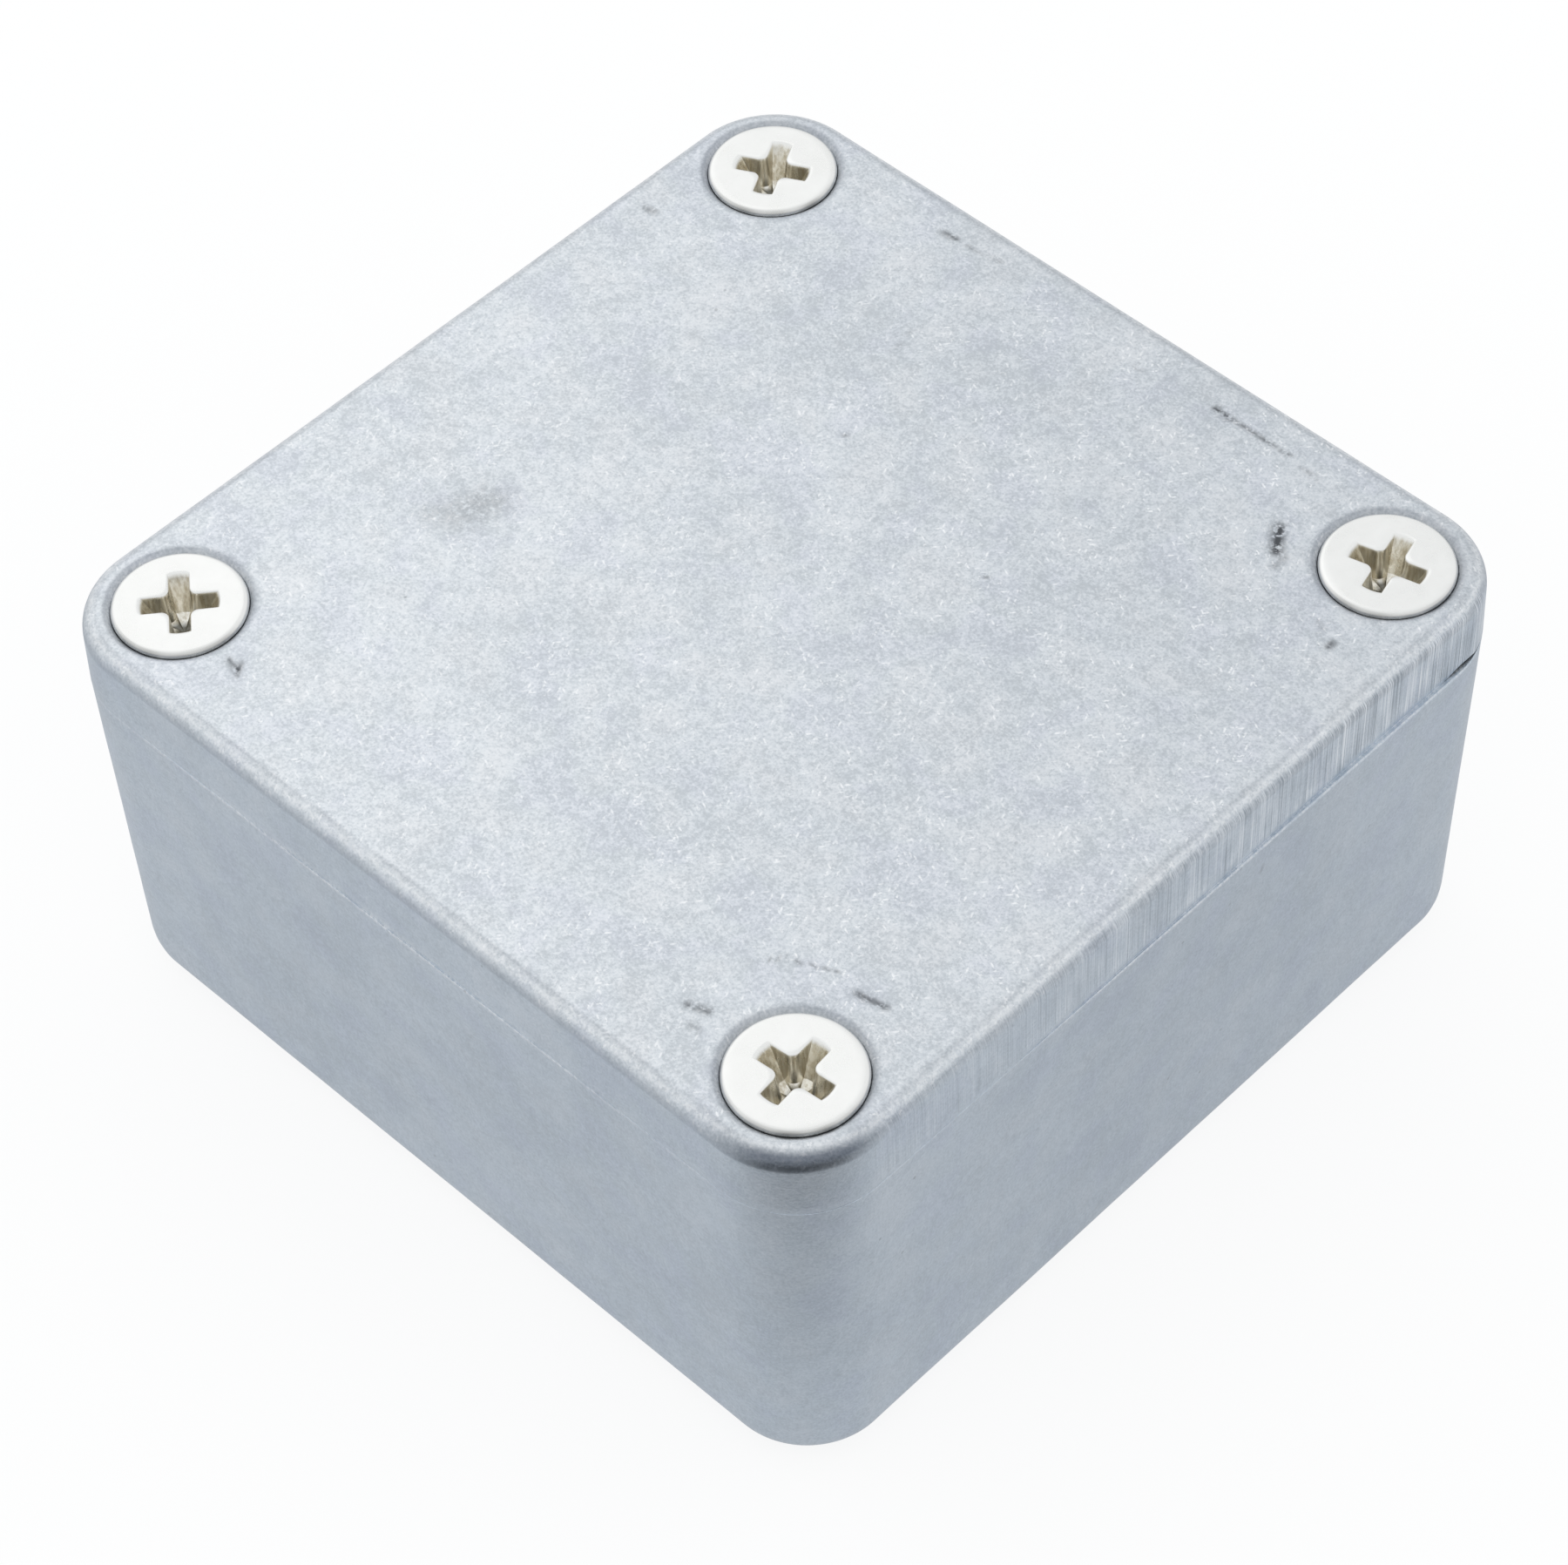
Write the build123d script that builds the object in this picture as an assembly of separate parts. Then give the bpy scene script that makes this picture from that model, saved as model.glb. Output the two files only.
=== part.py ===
from build123d import *
import os
from math import cos, radians, tan

# Small square die-cast enclosure, stood on its base with the lid on top.
# It is a drafted box with four screw pillars, a dished lid with a locating lip,
# and four countersunk cross-recess screws.
# Millimetres, +Z up, origin at the middle of the underside; front is -Y, right is +X.

# Outside of the closed case; length and width are at the parting line, its widest level
case_length = 50.0
case_width = 50.0
case_height = 25.0
corner_radius = 5.0
lid_band = 3.9              # height of the lid's side, from the parting line to its top
draft_angle = 1.3           # degrees, on every cast side face
base_edge_radius = 2.2      # round between the sides and the underside
lid_edge_radius = 1.0       # round between the lid's side and its top
parting_break = 0.15        # edge broken on both pieces where they meet

# Casting thickness and the rounds inside it
wall = 2.0
floor_thickness = 2.0
lid_plate = 2.0

# Screw pillars: a round boss about each screw, carried out square to both walls
pillar_radius = 3.9
pillar_blend = 1.6          # hollow round where a pillar meets a wall
least_blend = 0.8           # the same round at its tightest, inside the lip
least_flat = 0.7            # flat left between that round and the boss's own

# Lip on the lid's underside that locates it inside the walls
lip_clearance = 0.15
lip_thickness = 1.2
lip_depth = 1.6

# Screws
head_to_side = 1.65         # from the rim of a head to the case's side at the parting line
screw_length = 12.0         # over all, head included
shank_radius = 1.75
head_radius = 3.2
head_rim = 0.3              # upright edge of the head, above its cone
head_proud = 0.08           # the head stands this far above the lid
seat_angle = 90.0           # included angle of head and countersink
seat_gap = 0.03             # square to the cone, between head and countersink
tip_chamfer = 0.45

# Cross recess in the head
recess_span = 3.8           # tip to tip
recess_arm = 0.98           # width of an arm at the top
recess_depth = 1.8
recess_taper = 5.0          # degrees, of the arms' sides from upright
recess_slope = 26.5         # degrees, of the arms' ends from upright
pilot_radius = 0.5          # pointed middle below the arms
pilot_depth = 0.35

# Holes for the screws
thread_clearance = 0.05     # radial, between shank and tapped hole
shank_clearance = 0.25      # radial, between shank and the lid's hole
countersink_break = 0.25    # edge broken between countersink and lid top
tip_room = 1.5              # empty hole below the screw's tip
drill_point = 118.0         # included angle at the bottom of the tapped hole
hole_mouth = 0.3            # chamfer at the top of the tapped hole

# How far each recess is turned about its screw, in degrees
recess_turn = {
    "front_left": 50.0,
    "front_right": 5.5,
    "rear_left": 28.0,
    "rear_right": 14.5,
}

# From the case's side at the parting line to a screw's axis
screw_inset = head_radius + head_to_side

# Levels
parting_level = case_height - lid_band
lip_level = parting_level - lip_depth
plate_level = case_height - lid_plate
head_level = case_height + head_proud
seat_level = head_level - head_rim
tip_level = head_level - screw_length

# Two places closer than this count as one
same_place = 0.001

# Cones of the head and of its seat, as radius gained for each millimetre of height
seat_slope = tan(radians(seat_angle / 2))
seat_ease = seat_gap / cos(radians(seat_angle / 2))


def screw_axis(corner):
    """Place of the screw in the named corner, at the origin's level."""
    x = case_length / 2 - screw_inset
    y = case_width / 2 - screw_inset
    return Pos(x if "right" in corner else -x, y if "rear" in corner else -y)


def turned(*profile):
    """Solid turned about Z from a closed half profile of (radius, level) points."""
    outline = Polyline([(radius, 0, level) for radius, level in profile], close=True)
    return revolve(make_face(outline), Axis.Z)


def drawn_up(plan, height):
    """Cast form that narrows upwards by the draft."""
    return extrude(plan, height, taper=draft_angle)


def hung(solid, level):
    """The same form upside down, its wide end at the level; every form here is symmetric."""
    return Pos(Z=level) * Rot(X=180) * solid


def top_edges(solid):
    return solid.faces().sort_by(Axis.Z)[-1].edges()


def bottom_edges(solid):
    return solid.faces().sort_by(Axis.Z)[0].edges()


def case_plan():
    """Outside of the case at the parting line."""
    return RectangleRounded(case_length, case_width, corner_radius)


def core(inset, height):
    """Room inside the walls and round the pillars, taken in by inset, narrowing upwards."""
    wall_x = case_length / 2 - wall - inset
    wall_y = case_width / 2 - wall - inset
    nose_x = case_length / 2 - screw_inset - pillar_radius - inset
    nose_y = case_width / 2 - screw_inset - pillar_radius - inset
    blend = max(pillar_blend - inset, least_blend)
    side = min(wall_x - nose_x, wall_y - nose_y)
    nose = min(pillar_radius + inset, side - blend - least_flat)

    plan = Rectangle(2 * wall_x, 2 * nose_y) + Rectangle(2 * nose_x, 2 * wall_y)
    noses = plan.vertices().filter_by(
        lambda point: abs(point.X) < nose_x + same_place and abs(point.Y) < nose_y + same_place
    )
    room = drawn_up(fillet(noses, nose), height)

    drift = height * tan(radians(draft_angle))
    in_wall = room.edges().filter_by(
        lambda edge: edge.bounding_box().size.Z > height / 2
        and (abs(edge.center().X) > wall_x - drift or abs(edge.center().Y) > wall_y - drift)
    )
    return fillet(in_wall, blend)


def box():
    """Base of the case: drafted walls, floor, and a pillar with a tapped hole in each corner."""
    outside = hung(drawn_up(case_plan(), parting_level), parting_level)
    outside = fillet(bottom_edges(outside), base_edge_radius)
    outside = chamfer(top_edges(outside), parting_break)

    hollow = hung(core(0, parting_level - floor_thickness), parting_level)
    casting = outside - hollow
    for corner in recess_turn:
        casting -= screw_axis(corner) * tapped_hole()
    return casting


def tapped_hole():
    """Blind hole in a pillar, chamfered at its mouth and pointed at its bottom."""
    radius = shank_radius + thread_clearance
    bottom = tip_level - tip_room
    point = radius / tan(radians(drill_point / 2))
    return turned(
        (0, parting_level), (radius + hole_mouth, parting_level),
        (radius, parting_level - hole_mouth), (radius, bottom), (0, bottom - point),
    )


def lid():
    """Dished cover: plate, side band, locating lip, and a countersunk hole in each corner."""
    outside = Pos(Z=parting_level) * drawn_up(case_plan(), lid_band)
    outside = fillet(top_edges(outside), lid_edge_radius)
    outside = chamfer(bottom_edges(outside), parting_break)

    lip = hung(core(lip_clearance, lip_depth), parting_level)
    dish = Pos(Z=lip_level) * core(lip_clearance + lip_thickness, plate_level - lip_level)
    cover = outside + lip - dish
    for corner in recess_turn:
        cover -= screw_axis(corner) * countersunk_hole()

    mouths = top_edges(cover).filter_by(GeomType.CIRCLE).filter_by(lambda edge: edge.is_closed)
    return chamfer(mouths, countersink_break)


def countersunk_hole():
    """Clearance hole with a cone that the screw's head sits down into."""
    hole = shank_radius + shank_clearance
    mouth = head_radius + seat_ease + (case_height - seat_level) * seat_slope
    throat_level = case_height - (mouth - hole) / seat_slope
    return turned(
        (0, case_height), (mouth, case_height), (hole, throat_level),
        (hole, parting_level), (0, parting_level),
    )


def screw(corner):
    """Countersunk screw, its cross recess turned as it was left in that corner."""
    neck_level = seat_level - (head_radius - shank_radius) / seat_slope
    blank = turned(
        (0, head_level), (head_radius, head_level), (head_radius, seat_level),
        (shank_radius, neck_level), (shank_radius, tip_level + tip_chamfer),
        (shank_radius - tip_chamfer, tip_level), (0, tip_level),
    )
    recess = Pos(Z=head_level) * Rot(Z=recess_turn[corner]) * cross_recess()
    return screw_axis(corner) * (blank - recess)


def cross_recess():
    """Four tapering arms with sloping ends and a pointed middle, its top at the origin."""
    side = recess_arm / 2
    keel = side - recess_depth * tan(radians(recess_taper))
    tip = recess_span / 2
    foot = tip - recess_depth * tan(radians(recess_slope))

    across = [(0, side, 0), (0, keel, -recess_depth), (0, -keel, -recess_depth), (0, -side, 0)]
    arm = extrude(make_face(Polyline(across, close=True)), tip, both=True)
    ends = turned((0, 0), (tip, 0), (foot, -recess_depth), (0, -recess_depth))
    pilot = turned(
        (0, 0), (pilot_radius, 0), (pilot_radius, -recess_depth),
        (0, -recess_depth - pilot_depth),
    )
    return ((arm + Rot(Z=90) * arm) & ends) + pilot


pieces = {"box": box(), "lid": lid()}
for name in recess_turn:
    pieces[f"screw_{name}"] = screw(name)

os.makedirs("parts", exist_ok=True)
for name, piece in pieces.items():
    export_step(piece, f"parts/{name}.step")
    print(f"{name}: {piece.volume:.1f} cubic mm, valid {piece.is_valid}")
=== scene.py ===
from math import cos, pi, radians, sin, tan

import bmesh
import bpy
import numpy as np
from mathutils import Matrix, Vector


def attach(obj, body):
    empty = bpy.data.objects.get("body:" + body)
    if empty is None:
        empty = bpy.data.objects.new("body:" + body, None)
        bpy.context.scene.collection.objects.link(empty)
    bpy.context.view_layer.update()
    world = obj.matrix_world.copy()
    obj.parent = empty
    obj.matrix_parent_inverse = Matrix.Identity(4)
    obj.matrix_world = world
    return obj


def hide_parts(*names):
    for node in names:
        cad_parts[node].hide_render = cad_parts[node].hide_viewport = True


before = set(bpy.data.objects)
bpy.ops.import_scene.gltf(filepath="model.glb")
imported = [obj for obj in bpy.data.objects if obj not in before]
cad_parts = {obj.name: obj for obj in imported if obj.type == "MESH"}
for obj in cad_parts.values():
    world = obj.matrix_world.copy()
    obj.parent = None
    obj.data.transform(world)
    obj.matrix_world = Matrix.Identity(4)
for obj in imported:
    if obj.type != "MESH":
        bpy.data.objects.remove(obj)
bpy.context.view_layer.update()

# Small square die-cast enclosure: box, dished lid and four countersunk screws.
# Shapes are worked out in millimetres, as arrays, and go into meshes in metres.
MM = 0.001

# The case, as its source gives it
HALF = 25.0             # half its width at the parting line
CORNER = 5.0            # corner radius there
PARTING = 21.1
TOP = 25.0
DRAFT_DEGREES = 1.3
BASE_EDGE = 2.2
LID_EDGE = 1.0
WALL = 2.0
FLOOR = 2.0
PLATE = 23.0
AXIS = 20.15            # a screw's distance from the middle planes
PILLAR = 3.9
PILLAR_BLEND = 1.6
LEAST_BLEND = 0.8
LIP_CLEARANCE = 0.15
DISH_INSET = 1.35       # lip clearance and lip thickness
LIP_LEVEL = 19.5

# The screws and their holes
HEAD = 3.3              # radius of the head, as the photograph shows it; the source has 3.2
HEAD_TOP = 25.08
HEAD_RIM = 0.3
SHANK = 1.75
THREAD_ROOT = 1.5
NECK = 23.23            # where the shank meets the head's cone
TIP = 13.08
PITCH = 0.6
UNDERCUT = 0.4          # from the thread's end to the neck
LID_HOLE = 2.0
MOUTH = 3.542           # where the seat's cone would meet the lid's top
MOUTH_ROUND = 0.3
TAPPED = 1.8
TAPPED_BOTTOM = 11.58
TAPPED_MOUTH = 0.3      # chamfer at the top of a tapped hole
TAPPED_GROOVE = 0.11    # half the depth of the thread in it
THREADED = 3.0          # how far down that thread is modelled
DRILL_POINT = 59.0      # degrees, half the angle at the hole's bottom
RECESS_REACH = 1.9
RECESS_ARM = 0.49
RECESS_NOSE = 0.42
RECESS_DEPTH = 1.8
RECESS_TAPER = 5.0      # degrees, of the arms' sides from upright
RECESS_SLOPE = 26.5     # degrees, of the arms' ends from upright
RECESS_PIT = 0.35       # depth of the pointed middle below the arms
RECESS_TURN = {"front_left": 50.0, "front_right": 5.5, "rear_left": 28.0, "rear_right": 14.5}

# Rounds that only this model has, too small for the source
SMALL_BREAK = 0.12      # edges of the lip and the holes
THROAT_BREAK = 0.1      # edge between a seat's cone and its hole
DISH_ROUND = 0.5
FLOOR_ROUND = 0.9
HEAD_ROUND = 0.28

# Wear and sanding where the castings meet
WORN_EDGE = 0.035       # edge worn on both castings, all round
LID_RIGHT_WORN = 0.01   # worn off besides towards the rear of the right side
BOX_RIGHT_WORN = 0.17
BELOW_WEAR = 0.28       # the box's sides are plain up to this far below the parting line
SANDED_LEAST = 0.02     # set-back of the lid's right side at its front end
SANDED_MORE = 0.165     # how much that grows towards the rear
SANDED_LEAN = 0.008     # and for each millimetre of height
FRONT_SANDED = 0.06     # set-back of the lid's front about its middle
FRONT_LEAN = 0.02       # and for each millimetre of height
SLIT = 0.19             # widest opening of the seam at the rear right corner
SLIT_ENDS = ((25, 20.3, PARTING), (24.3, 21.8, PARTING))

# Grids: how many steps each stretch of the case's outline takes
CELL = 14.0             # the corner cells begin this far from the middle planes
STRIP = 112             # steps across a side, between its corner cells
LEAD = 24               # steps from a cell's edge to the corner's round
ARC = 32                # steps round a corner
BEND = 2 * LEAD + ARC
CELL_SIDE = 40
FILLET = 6              # steps in half of a round between pillar and wall
NOSE_SIDE = 16
NOSE = 28
PILLAR_BEND = 2 * FILLET + 2 * NOSE_SIDE + NOSE
RIM = 4                 # steps across the face where the two castings meet

DRAFT = tan(radians(DRAFT_DEGREES))
SLANT = 1 / cos(radians(DRAFT_DEGREES))
LID_FLAT = (TOP - LID_EDGE - PARTING) * DRAFT + LID_EDGE * SLANT       # inset of the lid's flat top
BASE_FLAT = (PARTING - BASE_EDGE) * DRAFT + BASE_EDGE * SLANT          # inset of the flat base
CORNERS = {"front_right": 0, "rear_right": 1, "rear_left": 2, "front_left": 3}


def span(start, end, steps):
    """Straight run from start towards end, in equal steps, without its end."""
    along = np.linspace(0, 1, steps, endpoint=False)[:, None]
    return np.asarray(start) * (1 - along) + np.asarray(end) * along


def arc(centre, radius, start, end, steps):
    """Centre plus radius times (cos a, sin a), a from start to end in degrees, without its end."""
    angle = np.radians(np.linspace(start, end, steps, endpoint=False))
    return np.asarray(centre) + radius * np.stack([np.cos(angle), np.sin(angle)], 1)


def swept(start, end, steps):
    """Angles from start to end in degrees, both ends included, given in radians."""
    return np.radians(np.linspace(start, end, steps + 1))


def evenly(count):
    """Shares from 0 to 1 in equal steps, both ends included."""
    return np.linspace(0, 1, count + 1)


def quarter_turn(points, turns):
    """Each (x, y) becomes (-y, x), as often as turns says; levels are kept."""
    points = np.array(points, float)
    for _ in range(turns):
        points[..., 0], points[..., 1] = -points[..., 1], points[..., 0].copy()
    return points


def all_round(quarter):
    """The quarter of a loop and its three turns, end to end."""
    return np.concatenate([quarter_turn(quarter, turns) for turns in range(4)])


def case_plan():
    """Rounded square, anticlockwise from the front's left cell edge, and its outward normals.

    A quarter is the front between the cells, then the corner cell's share: a straight
    run, a round of radius CORNER, and a straight run.
    """
    straight = HALF - CORNER
    points = [
        span((-CELL, -HALF), (CELL, -HALF), STRIP), span((CELL, -HALF), (straight, -HALF), LEAD),
        arc((straight, -straight), CORNER, -90, 0, ARC), span((HALF, -straight), (HALF, -CELL), LEAD),
    ]
    front = np.broadcast_to((0.0, -1.0), (STRIP + LEAD, 2))
    right = np.broadcast_to((1.0, 0.0), (LEAD, 2))
    normals = [front, arc((0, 0), 1, -90, 0, ARC), right]
    return all_round(np.concatenate(points)), all_round(np.concatenate(normals))


def room_plan(inset, blend, nose):
    """Loop inside the walls and round the pillars, anticlockwise, taken in by inset.

    A quarter is the front wall between the middles of two rounds, then one pillar: half a
    round, a side, the pillar's nose (an arc about its screw, walked clockwise), a side
    and half a round.
    """
    wall = HALF - WALL - inset
    pillar = AXIS - PILLAR - inset
    heart = pillar + nose
    return all_round(np.concatenate([
        arc((blend - pillar, blend - wall), blend, 225, 270, FILLET),
        span((blend - pillar, -wall), (pillar - blend, -wall), STRIP - 2 * FILLET),
        arc((pillar - blend, blend - wall), blend, 270, 360, 2 * FILLET),
        span((pillar, blend - wall), (pillar, -heart), NOSE_SIDE),
        arc((heart, -heart), nose, 180, 90, NOSE),
        span((heart, -pillar), (wall - blend, -pillar), NOSE_SIDE),
        arc((wall - blend, blend - pillar), blend, 270, 315, FILLET),
    ]))


def at(loop, level):
    """The loop's points at a level, one for all or one for each."""
    return np.concatenate([loop, np.broadcast_to(level, len(loop))[:, None]], 1)


def carried(plan, profile):
    """Profile carried round a plan: point minus its normal times the inset, at the level."""
    points, normals = plan
    return np.stack([
        at(points - normals * np.broadcast_to(inset, len(points))[:, None], level)
        for inset, level in profile
    ])


def between(first, last, shares):
    """Loops from one loop to another: first times (1 - share) plus last times share."""
    share = np.asarray(shares, float)[:, None, None]
    return first * (1 - share) + last * share


def turned(centre, directions, profile):
    """Loops about an upright axis: centre plus direction times radius, at the level."""
    return np.stack([
        at(np.asarray(centre) + directions * np.broadcast_to(radius, len(directions))[:, None], level)
        for radius, level in profile
    ])


class Skin:
    """Collects grids of points, and makes one mesh of them."""

    def __init__(self):
        self.points, self.faces, self.count = [], [], 0

    def add(self, grid, closed=True):
        """Grid of rows by places: a face between each four neighbours, round the loop if closed."""
        rows, places = grid.shape[:2]
        here = np.arange(rows * places).reshape(rows, places) + self.count
        ahead = np.roll(here, -1, 1)
        if not closed:
            here, ahead = here[:, :-1], ahead[:, :-1]
        self.faces.append(np.stack([here[:-1], ahead[:-1], ahead[1:], here[1:]], 2).reshape(-1, 4))
        self.points.append(grid.reshape(-1, 3))
        self.count += rows * places

    def all_corners(self, grid, closed=True):
        """The grid and its three quarter turns."""
        for turns in range(4):
            self.add(quarter_turn(grid, turns), closed)

    def mesh(self, name):
        """One mesh in metres, joined where neighbours' points coincide."""
        mesh = bpy.data.meshes.new(name)
        mesh.from_pydata(np.concatenate(self.points) * MM, [], np.concatenate(self.faces).tolist())
        shell = bmesh.new()
        shell.from_mesh(mesh)
        bmesh.ops.remove_doubles(shell, verts=shell.verts, dist=3e-8)
        shell.to_mesh(mesh)
        shell.free()
        return mesh


def ripple(points, length, seed, waves=14):
    """Smooth noise about -1 to 1: twice the mean of cosine waves in random directions."""
    random = np.random.default_rng(seed)
    headings = random.normal(size=(waves, 3))
    headings /= np.linalg.norm(headings, axis=1, keepdims=True)
    turns = 2 * pi / (length * random.uniform(0.7, 1.5, waves))
    phase = random.uniform(0, 2 * pi, waves)
    return np.cos(points @ headings.T * turns + phase).sum(1) * 2 / waves


def near(points, start, end, radius):
    """1 on the stretch from start to end, falling off as exp(-(distance / radius) squared)."""
    start, run = np.asarray(start, float), np.subtract(end, start)
    share = np.clip((points - start) @ run / max(run @ run, 1e-9), 0, 1)
    away = points - start - share[:, None] * run
    return np.exp(-(away ** 2).sum(1) / radius ** 2)


def hump(values, centre, width):
    """exp(-((value - centre) / width) squared)."""
    return np.exp(-((values - centre) / width) ** 2)


def inset_of(points):
    """How far inside the case's widest outline each point is, by the rounded square's distance."""
    reach = np.abs(points[:, :2]) - (HALF - CORNER)
    outside = np.hypot(*np.maximum(reach, 0).T) + np.minimum(reach.max(1), 0)
    return CORNER - outside


def by_near_corner(points):
    """1 at the front right corner's round, and off it within a few millimetres."""
    return hump(np.hypot(points[:, 0] - HALF, points[:, 1] + HALF), 2.6, 2.3)


def from_screw(points):
    """Distance from the axis of the nearest screw."""
    return np.hypot(*(np.abs(points[:, :2]) - AXIS).T)


def finished(name, mesh, shift, layers, material, body, slot, *nodes):
    """Object at the origin, its points moved along their normals by shift(points), in mm.

    layers(points) gives the values, one for each point, that the material's layers read.
    """
    points = np.empty(len(mesh.vertices) * 3, np.float32)
    mesh.vertices.foreach_get("co", points)
    normals = np.empty_like(points)
    mesh.vertex_normals.foreach_get("vector", normals)
    points = points.reshape(-1, 3) / MM
    moved = points + normals.reshape(-1, 3) * shift(points)[:, None]
    mesh.vertices.foreach_set("co", (moved * MM).astype(np.float32).ravel())
    for layer, values in layers(points).items():
        data = mesh.attributes.new(layer, "FLOAT", "POINT").data
        data.foreach_set("value", values.astype(np.float32))
    mesh.polygons.foreach_set("use_smooth", np.ones(len(mesh.polygons), bool))
    mesh.set_sharp_from_angle(angle=radians(38))
    mesh.materials.append(material)
    mesh.update()
    piece = bpy.data.objects.new(name, mesh)
    bpy.context.scene.collection.objects.link(piece)
    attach(piece, body)
    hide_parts(*nodes)


# Marks that handling left on the lid's top: start, end, half width, darkness and depth, in mm
LID_MARKS = [
    # By the front right screw
    ((19.2, -15.2), (20.6, -14.9), 0.19, 0.70, 0.05),
    ((14.1, -20.7), (15.1, -20.3), 0.20, 0.65, 0.05),
    ((15.1, -21.4), (15.4, -21.4), 0.22, 0.35, 0.02),
    ((15.0, -16.6), (15.5, -15.9), 0.08, 0.40, 0.01),
    ((15.9, -15.8), (17.8, -14.9), 0.07, 0.50, 0.01),
    # By the rear right screw
    ((14.9, 18.5), (15.7, 17.3), 0.34, 0.95, 0.08),
    ((16.3, 17.2), (16.3, 16.4), 0.20, 0.35, 0.02),
    ((21.4, 14.6), (21.4, 14.3), 0.20, 0.75, 0.03),
    ((20.0, 15.2), (20.5, 15.0), 0.15, 0.25, 0.01),
    # Along the rear edge
    ((-10.6, 22.6), (-9.7, 22.7), 0.18, 0.65, 0.04),
    ((-9.0, 22.7), (-6.9, 22.9), 0.08, 0.40, 0.01),
    ((2.7, 22.1), (3.1, 22.0), 0.15, 0.50, 0.02),
    ((7.5, 22.5), (8.5, 22.4), 0.18, 0.85, 0.05),
    ((8.8, 22.4), (10.0, 22.4), 0.11, 0.70, 0.03),
    ((10.3, 22.5), (11.2, 22.4), 0.12, 0.70, 0.03),
    ((11.6, 22.4), (12.3, 22.5), 0.10, 0.60, 0.02),
    ((12.8, 22.3), (14.2, 22.1), 0.07, 0.35, 0.01),
    # By the left side's two screws
    ((-22.9, 13.8), (-22.4, 13.9), 0.20, 0.55, 0.04),
    ((-15.8, -20.9), (-15.1, -21.1), 0.15, 0.65, 0.04),
    ((-15.2, -20.7), (-14.8, -21.3), 0.15, 0.60, 0.04),
    # In the open
    ((-4.5, 9.1), (-4.4, 9.1), 0.12, 0.85, 0.03),
    ((6.7, 6.7), (6.8, 6.7), 0.07, 0.85, 0.01),
    ((-6.7, 15.0), (-7.1, 16.7), 0.06, 0.25, 0.01),
    ((-15.4, -8.0), (-14.4, -5.5), 0.80, 0.20, 0.00),
    ((-14.1, -7.5), (-13.5, -5.1), 0.80, 0.16, 0.00),
]

# Scratches on the box's sides: start, end, half width and darkness, in mm
BOX_MARKS = [
    ((3.6, -25.0, 17.6), (3.9, -25.0, 16.7), 0.07, 0.5),
    ((-12.5, -25.0, 12.9), (-12.2, -25.0, 11.8), 0.08, 0.5),
    ((25.0, 11.0, 15.6), (25.0, 11.1, 15.2), 0.10, 0.5),
    ((25.0, 5.7, 19.3), (25.0, 5.9, 19.0), 0.12, 0.4),
]


def marked(points, darkness):
    """Sum of the lid's marks: the darkness of each, or else its depth, times the nearness to it."""
    total = np.zeros(len(points))
    for start, end, radius, dark, depth in LID_MARKS:
        amount = dark if darkness else depth
        total += amount * near(points, (*start, TOP), (*end, TOP), radius)
    return total


def meeting_cell(outline, room):
    """Edge of the front right part of a meeting face: outline, step in, pillar, step out."""
    corner = outline[STRIP:STRIP + BEND + 1]
    pillar = room[STRIP:STRIP + PILLAR_BEND + 1]
    return np.concatenate([
        corner[:-1], span(corner[-1], pillar[-1], RIM), pillar[:0:-1], span(pillar[0], corner[0], RIM),
    ])


def parting_break(points, more_on_right, seed):
    """Size of the worn edge at the parting line, at each point of the outline."""
    level = at(points, PARTING)
    right = np.clip((points[:, 1] + 12) / 24, 0, 1) * (points[:, 0] > 23)
    uneven = 0.009 * ripple(level, 5, seed) + 0.007 * ripple(level, 1.5, seed + 1)
    return WORN_EDGE + more_on_right * right + uneven


def set_back(points):
    """The lid's points, kept behind the planes that sanding left on its right side and its front.

    The right side's set-back grows towards the rear, the front's about its middle, and both upwards.
    """
    above = points[:, 2] - PARTING
    to_rear = np.clip((points[:, 1] + 14) / 30, 0, 1)
    right = HALF - SANDED_LEAST - SANDED_MORE * to_rear - SANDED_LEAN * above
    front = -HALF + FRONT_SANDED * hump(points[:, 0], 1, 16) + FRONT_LEAN * above
    points[:, 0] = np.minimum(points[:, 0], right)
    points[:, 1] = np.maximum(points[:, 1], front)
    return points


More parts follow.
